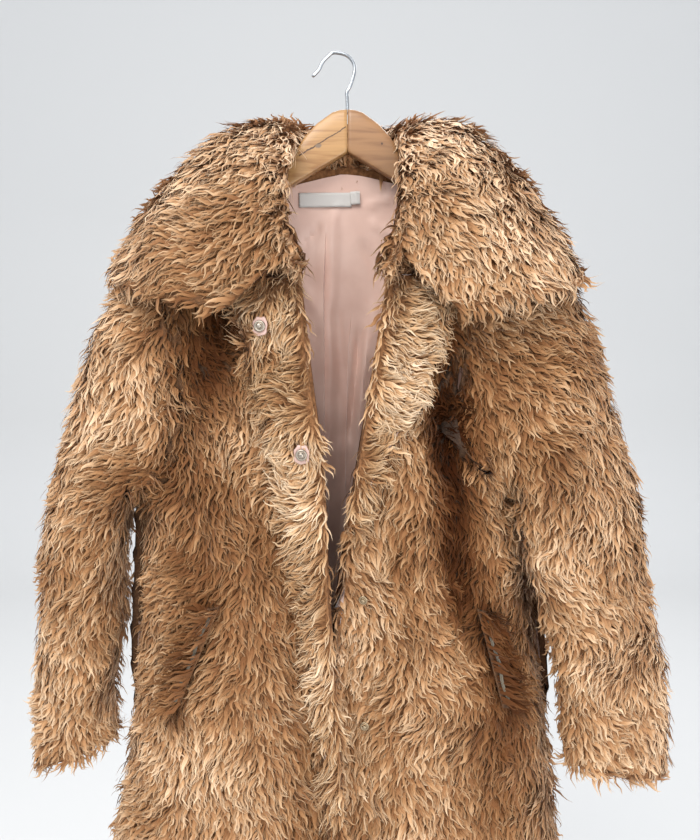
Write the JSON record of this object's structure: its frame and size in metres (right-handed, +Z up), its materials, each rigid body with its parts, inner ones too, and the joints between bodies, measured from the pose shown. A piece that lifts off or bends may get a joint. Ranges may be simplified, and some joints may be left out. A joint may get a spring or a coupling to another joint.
{
  "type": "faux fur coat on hanger",
  "caption": "Long faux fur coat with a wide fold-over collar and snap fastening, hanging open at the neck on a plain wooden hanger with a wire hook.",
  "frame": {"origin": "inside top of the hanger's hook, where a rail carries it", "axes": "+Z up, +X to the viewer's right when the coat is seen from the front, -Y towards the viewer in front of the coat"},
  "size_m": [0.7481, 0.1931, 1.0484],
  "materials": {
    "fur": "long soft wavy pile in clumps, honey tan with darker roots",
    "fur_facing": "thinner, scraggly, lighter pile",
    "lining": "dusty pink satin with soft creases",
    "label": "bare cream woven tape",
    "snap_patch": "small patch of the lining's satin",
    "snap": "dull pressed metal",
    "wood": "clear satin varnish on honey-coloured wood",
    "hook_wire": "polished wire"
  },
  "bodies": {
    "root": {"front_left": "fur", "front_right": "fur", "back": "fur", "sleeve_left": "fur", "sleeve_right": "fur", "collar": "fur", "facing_left": "fur_facing", "lapel_right": "fur_facing", "pocket_left": "fur", "pocket_right": "fur", "lining_back": "lining", "label": "label", "size_tab": "label", "snap_patch_1": "snap_patch", "snap_patch_2": "snap_patch", "snap_1": "snap", "snap_2": "snap", "snap_3": "snap", "snap_4": "snap", "hanger_left": "wood", "hanger_right": "wood", "hanger_hook": "hook_wire"}
  },
  "joints": []
}
